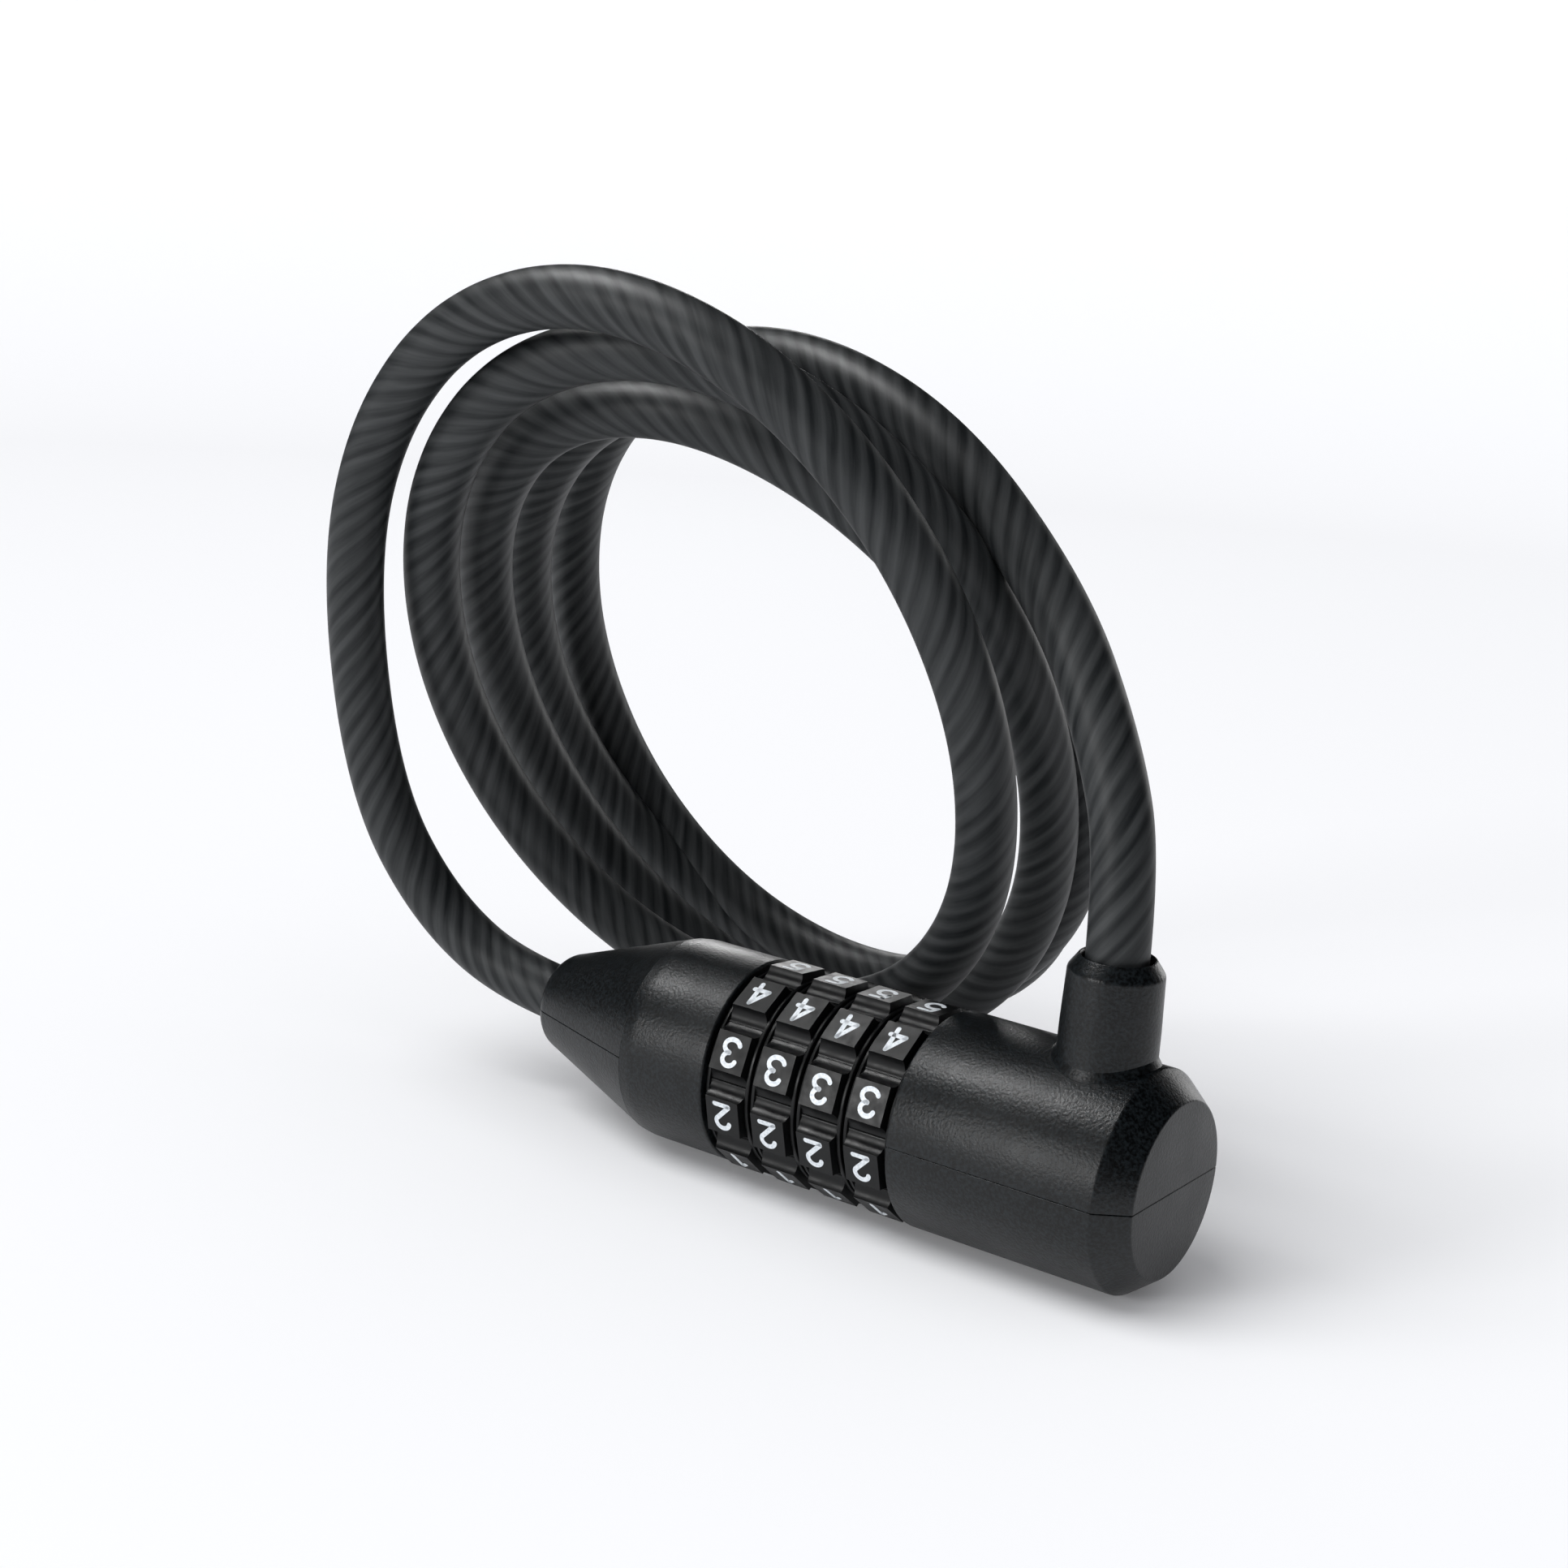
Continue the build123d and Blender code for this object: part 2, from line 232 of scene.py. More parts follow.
def make_piece(name, points, faces, material, sharp_angle=30):
    """A closed mesh object: doubled points are merged, faces turned outwards, and edges
    sharper than the angle stay sharp."""
    mesh = bpy.data.meshes.new(name)
    mesh.from_pydata(np.asarray(points).tolist(), [], [[int(corner) for corner in face] for face in faces])
    work = bmesh.new()
    work.from_mesh(mesh)
    bmesh.ops.remove_doubles(work, verts=work.verts, dist=1e-7)
    bmesh.ops.recalc_face_normals(work, faces=work.faces)
    work.to_mesh(mesh)
    work.free()
    mesh.materials.append(material)
    mesh.polygons.foreach_set("use_smooth", np.ones(len(mesh.polygons), bool))
    mesh.set_sharp_from_angle(angle=math.radians(sharp_angle))
    piece = bpy.data.objects.new(name, mesh)
    bpy.context.collection.objects.link(piece)
    return piece


def gathered(*shapes):
    """Several (points, faces) made one: each shape's faces count on from the points before it."""
    points, faces, first = [], [], 0
    for shape_points, shape_faces in shapes:
        points.append(shape_points)
        faces += [[corner + first for corner in face] for face in np.asarray(shape_faces, object).tolist()]
        first += len(shape_points)
    return np.vstack(points), faces


def break_edges(piece, width, angle=40, segments=2):
    """A small round on every edge sharper than the angle, as a mould leaves it."""
    bevel = piece.modifiers.new("edge_break", "BEVEL")
    bevel.width = width
    bevel.segments = segments
    bevel.limit_method = "ANGLE"
    bevel.angle_limit = math.radians(angle)
    bevel.harden_normals = True


# %% [markdown]
# A turned shape is an outline carried round the barrel's axis. An outline's corners
# carry a radius of their own, so that edges are as soft as the mould made them.

# %% Outlines and turning
def rounded(corners, bend=4):
    """A closed outline (x, y) from corners (x, y, radius). Each corner becomes a quadratic
    curve that starts and ends up to a radius away from it; a radius of 0 keeps the corner."""
    values = np.array(corners, float)
    corner, radius = values[:, :2], values[:, 2]
    back, ahead = np.roll(corner, 1, 0) - corner, np.roll(corner, -1, 0) - corner
    back_length, ahead_length = np.linalg.norm(back, axis=1), np.linalg.norm(ahead, axis=1)
    reach = np.minimum(radius, 0.45 * np.minimum(back_length, ahead_length))
    start = corner + back * (reach / back_length)[:, None]
    stop = corner + ahead * (reach / ahead_length)[:, None]
    t = np.linspace(0, 1, bend)[None, :, None]
    curve = (1 - t) ** 2 * start[:, None] + 2 * t * (1 - t) * corner[:, None] + t ** 2 * stop[:, None]
    keep = (radius[:, None] > 0) | (np.arange(bend) == 0)
    return curve[keep]


def turned(outline, start=0, sweep=360, steps=180):
    """Points and faces of an outline (x, radius) turned about the barrel's axis: at an angle,
    y is radius times its cosine and z is the axis plus radius times its sine. Part of a turn
    gets the outline as its two ends."""
    whole = sweep == 360
    angle = np.radians(start + np.linspace(0, sweep, steps, endpoint=not whole))[:, None]
    x = np.broadcast_to(outline[:, 0], (steps, len(outline)))
    points = np.stack([x, outline[:, 1] * np.cos(angle), axis_z + outline[:, 1] * np.sin(angle)], -1)
    faces = grid_faces(steps, len(outline), whole, True).tolist()
    if not whole:
        end = np.arange(len(outline))
        faces += [end[::-1].tolist(), (end + (steps - 1) * len(outline)).tolist()]
    return points.reshape(-1, 3), faces


# %% [markdown]
# ## Moulded shells
# The closed end, the collar and the tapered tail are black glass-filled nylon,
# moulded in a spark-eroded die. That gives a matt skin with a fine, even grain that
# sparkles where light rakes over it. The real grain is about a tenth of a
# millimetre, and it is drawn at four times that, so that it shows.

# %% Spark-grained nylon
grain_size = 0.42 * mm
rub_size = 9 * mm
nylon, shader = new_material("spark_grained_nylon", "#131618", 0.5, Specular_IOR_Level=0.36)
place = add_node(nylon, "ShaderNodeTexCoord")
grain = add_node(nylon, "ShaderNodeTexNoise", {"Scale": 1 / grain_size, "Detail": 2.0},
                 {"Vector": place.outputs["Object"]})
rub = add_node(nylon, "ShaderNodeTexNoise", {"Scale": 1 / rub_size, "Detail": 3.0},
               {"Vector": place.outputs["Object"]})
gloss = add_node(nylon, "ShaderNodeMapRange",
                 {"From Min": 0.3, "From Max": 0.7, "To Min": 0.34, "To Max": 0.44},
                 {"Value": rub.outputs["Fac"]})
tone = add_node(nylon, "ShaderNodeValToRGB", None, {"Fac": grain.outputs["Fac"]})
tone.color_ramp.elements[0].position = 0.4
tone.color_ramp.elements[0].color = linear("#030405")
tone.color_ramp.elements[1].position = 0.65
tone.color_ramp.elements[1].color = linear("#151a1d")
bump = add_node(nylon, "ShaderNodeBump", {"Strength": 1.0, "Distance": 0.05 * mm},
                {"Height": grain.outputs["Fac"]})
link(nylon, gloss.outputs["Result"], shader.inputs["Roughness"])
link(nylon, tone.outputs["Color"], shader.inputs["Base Color"])
link(nylon, bump.outputs["Normal"], shader.inputs["Normal"])
print("grain mm", grain_size / mm)

# %% [markdown]
# The closed end is two halves, welded along a level seam. Each is the outline of a
# hollow wall, in distance along the barrel and radius, carried round half a turn. A
# small round on every edge makes the seam a fine groove, as a weld line is.

# %% Lower shell half
wall = 2.1 * mm
chamfer = 4.0 * mm
end_r = 11.4 * mm
neck_r = 6.6 * mm
seam_break, seam_angle = 0.14 * mm, 60
half_turn_steps = 97
shell_outline = rounded([
    (x_rim, neck_r, 0), (x_rim, barrel_r, 0.45 * mm), (x_end - chamfer, barrel_r, 0.25 * mm),
    (x_end, end_r, 0.25 * mm), (x_end, 0, 0), (x_end - wall, 0, 0), (x_end - wall, end_r - wall, 0),
    (x_end - chamfer, barrel_r - wall, 0), (x_rim + wall, barrel_r - wall, 0), (x_rim + wall, neck_r, 0)])
lower_shell = make_piece("lower_shell", *turned(shell_outline, 180, 180, half_turn_steps), nylon)
break_edges(lower_shell, seam_break, seam_angle)
print("outline points", len(shell_outline))

# %% [markdown]
# The upper half carries the post. The post is one closed surface of rings: a foot
# that follows the barrel's round back with a small fillet, a wall that tapers to
# the crown, a sloping crown, and a bore that the cable goes down into.

# %% Post
post_foot_r, post_top_r, crown_z = 6.35 * mm, 6.1 * mm, 40.1 * mm
bore_r, bore_floor = cable_r + 0.4 * mm, 33 * mm
foot_fillet, foot_sink = 0.6 * mm, 0.04 * mm


def post_rings(columns=128):
    """Rings (radius, height) about the post's axis, from the foot to the bore's floor. At the
    foot the height follows the barrel: axis plus the root of barrel radius squared less y squared."""
    angle = np.linspace(0, 2 * math.pi, columns, endpoint=False)
    bend = np.linspace(0, math.pi / 2, 6)[:, None]
    foot_r = post_foot_r + foot_fillet * (1 - np.sin(bend)) + 0 * angle
    back_z = axis_z + np.sqrt(barrel_r ** 2 - (foot_r * np.sin(angle)) ** 2)
    foot_z = back_z + foot_fillet * (1 - np.cos(bend)) - foot_sink
    wall_profile = rounded([
        (bore_r, bore_floor, 0), (post_foot_r - 0.03 * mm, bore_floor, 0), (post_top_r, crown_z, 0.35 * mm),
        (bore_r + 0.35 * mm, mouth_z, 0.35 * mm), (bore_r, mouth_z - 0.5 * mm, 0.3 * mm)], 6)[1:]
    radius = np.vstack([foot_r, wall_profile[:, :1] + 0 * angle, np.full((1, columns), bore_r)])
    height = np.vstack([foot_z, wall_profile[:, 1:] + 0 * angle, np.full((1, columns), bore_floor)])
    points = np.stack([x_post + radius * np.cos(angle), radius * np.sin(angle), height], -1)
    return points.reshape(-1, 3), grid_faces(len(radius), columns, True, True)


upper_half = turned(shell_outline, 0, 180, half_turn_steps)
upper_shell = make_piece("upper_shell", *gathered(upper_half, post_rings()), nylon)
break_edges(upper_shell, seam_break, seam_angle)
print("upper shell faces", len(upper_shell.data.polygons))

# %% [markdown]
# The collar is one sleeve, soft at its shoulder and crisp where it meets the first
# dial. The tail behind it is two halves again, with a rounded small end.

# %% Collar and tail
insert_r = 9.62 * mm
seat_r = collar_r - 0.25 * mm
tail_r = 6.9 * mm
pocket_r, pocket_depth = 9.0 * mm, 2.6 * mm
ferrule_bore_r, ferrule_reach = 4.7 * mm, 12 * mm
insert_reach = 3 * mm
exit_r = cable_r + 0.1 * mm
collar_outline = rounded([
    (x_cone, insert_r, 0), (x_cone, seat_r, 0), (x_cone + 1.6 * mm, collar_r, 1.4 * mm),
    (x_collar_end, collar_r, 0.4 * mm), (x_collar_end, pocket_r, 0.3 * mm),
    (x_collar_end - pocket_depth, pocket_r, 0), (x_collar_end - pocket_depth, insert_r, 0)], 6)
collar = make_piece("collar_sleeve", *turned(collar_outline), nylon)
tail_outline = rounded([
    (x_tail, exit_r, 0.25 * mm), (x_tail, tail_r - 0.7 * mm, 0.4 * mm),
    (x_tail + 0.8 * mm, tail_r, 0.6 * mm), (x_cone, seat_r, 0), (x_cone, insert_r, 0),
    (x_cone - insert_reach, insert_r, 0), (x_cone - insert_reach, ferrule_bore_r, 0),
    (x_cone - ferrule_reach, ferrule_bore_r, 0), (x_cone - ferrule_reach, exit_r, 0)], 6)
tail_lower = make_piece("tail_lower", *turned(tail_outline, 180, 180, half_turn_steps), nylon)
tail_upper = make_piece("tail_upper", *turned(tail_outline, 0, 180, half_turn_steps), nylon)
break_edges(tail_lower, seam_break, seam_angle)
break_edges(tail_upper, seam_break, seam_angle)
print("collar and tail made")

# %% [markdown]
# ## Dials
# The dials are black ABS from a smoother die than the shells: satin, with brighter
# and duller patches where fingers have rubbed them. The figures are white ink, pad
# printed, with a slightly uneven cover.

# %% Dial plastic and white ink
abs_black, shader = new_material("satin_black_abs", "#08090a", 0.4, Specular_IOR_Level=0.28)
place = add_node(abs_black, "ShaderNodeTexCoord")
rub = add_node(abs_black, "ShaderNodeTexNoise", {"Scale": 1 / (1.5 * mm), "Detail": 5.0},
               {"Vector": place.outputs["Object"]})
gloss = add_node(abs_black, "ShaderNodeMapRange",
                 {"From Min": 0.3, "From Max": 0.7, "To Min": 0.30, "To Max": 0.46},
                 {"Value": rub.outputs["Fac"]})
skin = add_node(abs_black, "ShaderNodeTexNoise", {"Scale": 1 / (0.15 * mm), "Detail": 1.0},
                {"Vector": place.outputs["Object"]})
bump = add_node(abs_black, "ShaderNodeBump", {"Strength": 0.15, "Distance": 0.02 * mm},
                {"Height": skin.outputs["Fac"]})
link(abs_black, gloss.outputs["Result"], shader.inputs["Roughness"])
link(abs_black, bump.outputs["Normal"], shader.inputs["Normal"])

ink, shader = new_material("white_pad_printing_ink", "#d8dee4", 0.45)
place = add_node(ink, "ShaderNodeTexCoord")
cover = add_node(ink, "ShaderNodeTexNoise", {"Scale": 1 / (0.35 * mm), "Detail": 2.0},
                 {"Vector": place.outputs["Object"]})
tone = add_node(ink, "ShaderNodeValToRGB", None, {"Fac": cover.outputs["Fac"]})
tone.color_ramp.elements[0].position = 0.3
tone.color_ramp.elements[0].color = linear("#c4ccd3")
tone.color_ramp.elements[1].position = 0.6
tone.color_ramp.elements[1].color = linear("#e3e8ec")
link(ink, tone.outputs["Color"], shader.inputs["Base Color"])

# %% [markdown]
# A dial is a turned ring with a flange at each side and a channel between them, and
# ten blocks that stand in the channel. A block has a flat top for its figure. The
# valley between two blocks is a round scoop, steep at its edges, so that it holds one
# thin line of light. Three of the dials stand up to four degrees off their clicks, as
# they do after use.

# %% Rings and blocks
block_pitch = 36
block_angles = np.arange(90, 450, block_pitch)
half_pitch = math.radians(block_pitch / 2)
rest_turns = (-4, -2, 0, -1)
half_angle = math.radians(10.5)
corner_r = 14.45 * mm
flat_r = corner_r * math.cos(half_angle)
scoop_angle, past_middle = 75, 4
valley_half = half_pitch - half_angle
scoop_r = corner_r * math.sin(valley_half) / math.sin(math.radians(scoop_angle))
scoop_centre = corner_r * math.cos(valley_half) + scoop_r * math.cos(math.radians(scoop_angle))
valley_r = scoop_centre - scoop_r
floor_r = 12.5 * mm
flange_r, flange_w, hub_r = 13.3 * mm, 0.55 * mm, 10.42 * mm
block_top_half_w, block_foot_half_w, block_root = 2.6 * mm, 2.85 * mm, 0.2 * mm
channel_draft = 0.1 * mm


def on_dial(local, x_mid, degrees):
    """Places (right, up, out) on a dial, for one angle or many. Out points away from the axis
    at the angle, up goes along the turn, and right is up times out, which is towards the tail."""
    angle = np.radians(np.atleast_1d(degrees))[:, None]
    right, up, out = local[:, 0], local[:, 1], local[:, 2]
    y = -up * np.sin(angle) + out * np.cos(angle)
    z = up * np.cos(angle) + out * np.sin(angle)
    x = np.broadcast_to(x_mid - right, y.shape)
    return np.stack([x, y, axis_z + z], -1).reshape(-1, 3)


def block():
    """One block, from its section (up, out) through the dial. Half a valley is an arc of the
    scoop's circle: in the valley's own frame it is the scoop's radius times the sine along, and
    the centre less the radius times the cosine out. Half a block's pitch turns it into place."""
    scoop = np.radians(np.append(np.linspace(-scoop_angle, 0, 9), past_middle))
    along, out = scoop_r * np.sin(scoop), scoop_centre - scoop_r * np.cos(scoop)
    turn_sine, turn_cosine = math.sin(half_pitch), math.cos(half_pitch)
    up, out = along * turn_cosine + out * turn_sine, out * turn_cosine - along * turn_sine
    side = np.column_stack([up, out])
    under = np.array([[up[-1], floor_r - block_root]])
    section = np.vstack([side, under, (under * [-1, 1]), (side * [-1, 1])[::-1]])
    rise = (section[:, 1] - valley_r) / (flat_r - valley_r)
    half_width = block_foot_half_w + (block_top_half_w - block_foot_half_w) * rise
    left = np.column_stack([-half_width, section])
    right = np.column_stack([half_width, section])
    count = len(section)
    faces = grid_faces(2, count, False, True).tolist()
    faces += [list(range(count))[::-1], list(range(count, 2 * count))]
    return np.vstack([left, right]), faces


def dial_piece(number):
    """A dial from its node's place along the barrel: the flanged ring, and the blocks on it."""
    x0, x1 = (corner[0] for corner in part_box(f"dial_{number}"))
    outline = rounded([
        (x0, hub_r, 0), (x0, flange_r, 0.3 * mm), (x0 + flange_w, flange_r, 0.12 * mm),
        (x0 + flange_w + channel_draft, floor_r, 0), (x1 - flange_w - channel_draft, floor_r, 0),
        (x1 - flange_w, flange_r, 0.12 * mm), (x1, flange_r, 0.3 * mm), (x1, hub_r, 0)])
    points, faces = block()
    turn_angles = block_angles + rest_turns[number - 1]
    shapes = [(on_dial(points, (x0 + x1) / 2, degrees), faces) for degrees in turn_angles]
    piece = make_piece(f"number_ring_{number}", *gathered(turned(outline), *shapes), abs_black)
    break_edges(piece, 0.12 * mm, 35)
    return piece


dials = [dial_piece(number) for number in range(1, 5)]
print("dials", len(dials), "faces each", len(dials[0].data.polygons))

# %% [markdown]
# The figures are drawn as a sign painter would: each is one or more strokes of even
# width with round ends. A stroke is a line of points, and its ribbon is the line
# moved half a stroke to each side. At a round end the ribbon narrows as the cosine
# of an angle while it runs on by the sine.

# %% Figure strokes
figure_size = np.array([2.3 * mm, 3.5 * mm])
stroke_w = 0.66 * mm
ink_height = 0.03 * mm
cap_rows = 6


def arc(x, y, half_w, half_h, start, stop, count=16):
    """Points round an ellipse, from one angle in degrees to another."""
    a = np.radians(np.linspace(start, stop, count))
    return np.column_stack([x + half_w * np.cos(a), y + half_h * np.sin(a)])


def line(*corners):
    """Straight stroke through its corners."""
    return np.array(corners, float)


strokes = {
    0: [arc(0, 0, 0.5, 0.5, 90, 270), arc(0, 0, 0.5, 0.5, -90, 90)],
    1: [line((-0.3, 0.24), (0.08, 0.5)), line((0.08, 0.5), (0.08, -0.5))],
    2: [np.vstack([arc(0, 0.23, 0.45, 0.27, 170, -20), line((-0.46, -0.46))]),
        line((-0.46, -0.5), (0.5, -0.5))],
    3: [arc(-0.04, 0.25, 0.44, 0.25, 165, -75), arc(-0.04, -0.24, 0.52, 0.26, 80, -160)],
    4: [line((0.24, -0.5), (0.24, 0.5)), line((0.24, 0.5), (-0.5, -0.2)), line((-0.5, -0.2), (0.5, -0.2))],
    5: [line((0.42, 0.5), (-0.34, 0.5)), line((-0.34, 0.5), (-0.42, 0.04)),
        arc(-0.02, -0.17, 0.48, 0.33, 140, -150)],
    6: [np.vstack([line((0.26, 0.5)), arc(0, -0.17, 0.47, 0.33, 165, 200)]),
        arc(0, -0.17, 0.47, 0.33, 180, 540, 24)],
    7: [line((-0.46, 0.5), (0.46, 0.5)), line((0.46, 0.5), (-0.14, -0.5))],
    8: [arc(0, 0.26, 0.38, 0.24, -90, 270, 24), arc(0, -0.24, 0.47, 0.26, 90, 450, 24)],
    9: [np.vstack([line((-0.26, -0.5)), arc(0, 0.17, 0.47, 0.33, -15, 20)]),
        arc(0, 0.17, 0.47, 0.33, 0, 360, 24)],
}


def ribbon(path):
    """Points and faces of one stroke: rows across the path, each with its left and right edge
    just inside the block and just above it, and half circles of rows at both ends."""
    centre = path * figure_size
    ahead = np.gradient(centre, axis=0)
    ahead /= np.linalg.norm(ahead, axis=1)[:, None]
    turn_in = np.radians(np.linspace(84, 12, cap_rows))[:, None]
    start = centre[0] - ahead[0] * np.sin(turn_in) * stroke_w / 2
    stop = centre[-1] + ahead[-1] * np.sin(turn_in[::-1]) * stroke_w / 2
    middle = np.vstack([start, centre, stop])
    along = np.vstack([np.repeat(ahead[:1], cap_rows, 0), ahead, np.repeat(ahead[-1:], cap_rows, 0)])
    share = np.concatenate([np.cos(turn_in), np.ones((len(centre), 1)), np.cos(turn_in[::-1])])
    half = share * stroke_w / 2
    left = np.column_stack([-along[:, 1], along[:, 0]]) * half
    rows = [(middle + left, -1), (middle + left, 1), (middle - left, 1), (middle - left, -1)]
    points = np.stack([np.column_stack([edge, np.full(len(edge), flat_r + level * ink_height)])
                       for edge, level in rows], 1)
    faces = grid_faces(len(middle), 4, False, True).tolist()
    last = 4 * len(middle)
    return points.reshape(-1, 3), faces + [[3, 2, 1, 0], [last - 4, last - 3, last - 2, last - 1]]


def figures_piece(number):
    """All ten figures of a dial: 5 on the topmost block, and counting down along the turn."""
    x0, x1 = (corner[0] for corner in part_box(f"dial_{number}"))
    shapes = []
    for place_on_dial, degrees in enumerate(block_angles):
        for path in strokes[(5 - place_on_dial) % 10]:
            points, faces = ribbon(path)
            shapes.append((on_dial(points, (x0 + x1) / 2, degrees + rest_turns[number - 1]), faces))
    return make_piece(f"figures_{number}", *gathered(*shapes), ink, 20)


figures = [figures_piece(number) for number in range(1, 5)]
print("figure faces", len(figures[0].data.polygons))

# %% [markdown]
# ## Cable
# The cable is a steel rope of eight strands under a smoky PVC sleeve. The sleeve is a
# round tube on the route's smooth line. Each ring of it is turned as little as
# possible from the ring before, and carries two numbers for the finish: how far
# round the ring, and how many millimetres along the cable.

# %% Tube along the line
cable_columns = 40


def ring_frames(line_points):
    """Two directions across the line at each point. The first is carried from point to point:
    the part of it that lies along the new direction is taken off, and the rest is made one long
    again. The second is square to the line and to the first."""
    ahead = np.gradient(line_points, axis=0)
    ahead /= np.linalg.norm(ahead, axis=1)[:, None]
    across = np.empty_like(ahead)
    last = np.array([0.0, 1.0, 0.0])
    for index, direction in enumerate(ahead):
        last = last - direction * last.dot(direction)
        last = last / np.linalg.norm(last)
        across[index] = last
    return across, np.cross(ahead, across)


route_across, route_over = ring_frames(cable_line)
route_length = np.concatenate([[0], np.cumsum(np.linalg.norm(np.diff(cable_line, axis=0), axis=1))])


def cable_piece(name, first, last, material):
    """A closed tube from one point of the line to another: centre plus radius times the cosine
    across and the sine over, with a disc at each end. The map along_cable goes on to a whole
    turn at the last column, so no face spans the jump back to zero."""
    angle = np.linspace(0, 2 * math.pi, cable_columns, endpoint=False)[None, :, None]
    centre = cable_line[first:last + 1][:, None]
    across, over = route_across[first:last + 1][:, None], route_over[first:last + 1][:, None]
    rings = centre + cable_r * (np.cos(angle) * across + np.sin(angle) * over)
    rows = len(rings)
    faces = grid_faces(rows, cable_columns, False, True).tolist()
    end = np.arange(cable_columns)
    faces += [end[::-1].tolist(), (end + (rows - 1) * cable_columns).tolist()]
    mesh = bpy.data.meshes.new(name)
    mesh.from_pydata(rings.reshape(-1, 3).tolist(), [], faces)
    mesh.materials.append(material)
    mesh.polygons.foreach_set("use_smooth", np.ones(len(mesh.polygons), bool))
    mesh.set_sharp_from_angle(angle=math.radians(50))
    corner = np.empty(len(mesh.loops), int)
    mesh.loops.foreach_get("vertex_index", corner)
    turn_share = (corner % cable_columns) / cable_columns
    in_wrap = np.zeros(len(corner), bool)
    in_wrap[:4 * (rows - 1) * cable_columns] = True
    quad_column = np.repeat(np.tile(np.arange(cable_columns), rows - 1), 4)
    at_seam = np.zeros(len(corner), bool)
    at_seam[in_wrap] = (quad_column == cable_columns - 1) & (turn_share[in_wrap] == 0)
    along = route_length[first:last + 1][corner // cable_columns] / mm
    layer = mesh.uv_layers.new(name="along_cable")
    layer.data.foreach_set("uv", np.column_stack([turn_share + at_seam, along]).ravel())
    piece = bpy.data.objects.new(name, mesh)
    bpy.context.collection.objects.link(piece)
    return piece


# %% [markdown]
# Through the sleeve the strands show as soft slanting bands. A strand keeps the same
# helical angle all along: the share of a turn round the ring, less the length along
# the cable over the length of the rope's lay. A cosine of eight times that angle gives
# the eight strands, and a noise on the circle of that angle, stretched along the
# cable, gives the wires and the smoke. The sum sets the colour, and lifts the satin
# sleeve very slightly over each strand.

# %% Sleeved rope
strand_count = 8
rope_lay = 28 * mm
wire_w, wire_run = 1.1 * mm, 9 * mm
band_depth = 0.2
sleeved, shader = new_material("smoky_pvc_over_steel_rope", "#202326", 0.5, Specular_IOR_Level=0.28)
along_map = add_node(sleeved, "ShaderNodeUVMap", {"uv_map": "along_cable"})
split = add_node(sleeved, "ShaderNodeSeparateXYZ", None, {"Vector": along_map.outputs["UV"]})
lay_share = add_node(sleeved, "ShaderNodeMath", {"operation": "MULTIPLY_ADD", 1: -mm / rope_lay},
                     {0: split.outputs["Y"], 2: split.outputs["X"]})
lay_angle = add_node(sleeved, "ShaderNodeMath", {"operation": "MULTIPLY", 1: 2 * math.pi},
                     {0: lay_share.outputs["Value"]})
strand_angle = add_node(sleeved, "ShaderNodeMath", {"operation": "MULTIPLY", 1: strand_count},
                        {0: lay_angle.outputs["Value"]})
bands = add_node(sleeved, "ShaderNodeMath", {"operation": "COSINE"}, {0: strand_angle.outputs["Value"]})
round_x = add_node(sleeved, "ShaderNodeMath", {"operation": "COSINE"}, {0: lay_angle.outputs["Value"]})
round_y = add_node(sleeved, "ShaderNodeMath", {"operation": "SINE"}, {0: lay_angle.outputs["Value"]})
stretched = add_node(sleeved, "ShaderNodeMath",
                     {"operation": "MULTIPLY", 1: wire_w / wire_run * mm / cable_r},
                     {0: split.outputs["Y"]})
circle = add_node(sleeved, "ShaderNodeCombineXYZ", None, {
    "X": round_x.outputs["Value"], "Y": round_y.outputs["Value"], "Z": stretched.outputs["Value"]})
wires = add_node(sleeved, "ShaderNodeTexNoise", {"Scale": cable_r / wire_w, "Detail": 3.0},
                 {"Vector": circle.outputs["Vector"]})
depth = add_node(sleeved, "ShaderNodeMath", {"operation": "MULTIPLY_ADD", 1: band_depth},
                 {0: bands.outputs["Value"], 2: wires.outputs["Fac"]})
tone = add_node(sleeved, "ShaderNodeValToRGB", None, {"Fac": depth.outputs["Value"]})
tone.color_ramp.elements[0].position = 0.22
tone.color_ramp.elements[0].color = linear("#16191b")
tone.color_ramp.elements[1].position = 0.84
tone.color_ramp.elements[1].color = linear("#3b3d3e")
bump = add_node(sleeved, "ShaderNodeBump", {"Strength": 0.15, "Distance": 0.2 * mm},
                {"Height": depth.outputs["Value"]})
link(sleeved, tone.outputs["Color"], shader.inputs["Base Color"])
link(sleeved, bump.outputs["Normal"], shader.inputs["Normal"])
print("strand spacing mm", rope_lay / strand_count / mm)

# %% [markdown]
# The cable is made in two lengths that share a ring. The first runs from the plug to
# the top of the first turn and takes the place of the plug's lead; it is set where it
# lies and is not fixed to the plug. The second length stays with the lock.

# %% Two lengths of cable
join_height = 110 * mm
top_of_first_turn = int(np.argmax(cable_line[:, 2] > join_height))
last_ring = len(cable_line) - 1
plug_cable = cable_piece("cable_from_plug", 0, top_of_first_turn, sleeved)
coil_cable = cable_piece("cable_coil_to_post", top_of_first_turn, last_ring, sleeved)

# %% [markdown]
# ## Metal inside
# The pin, spindle and ferrules are turned steel with a bright nickel plate and fine
# rings from the lathe. The inserts and code rings are die-cast zinc, duller and
# slightly cloudy. The rope ends show bare galvanised wire. At a scale of one, the wave
# texture makes 20 / (2 pi) waves in each unit of length, so its scale is one over the
# spacing and that count.

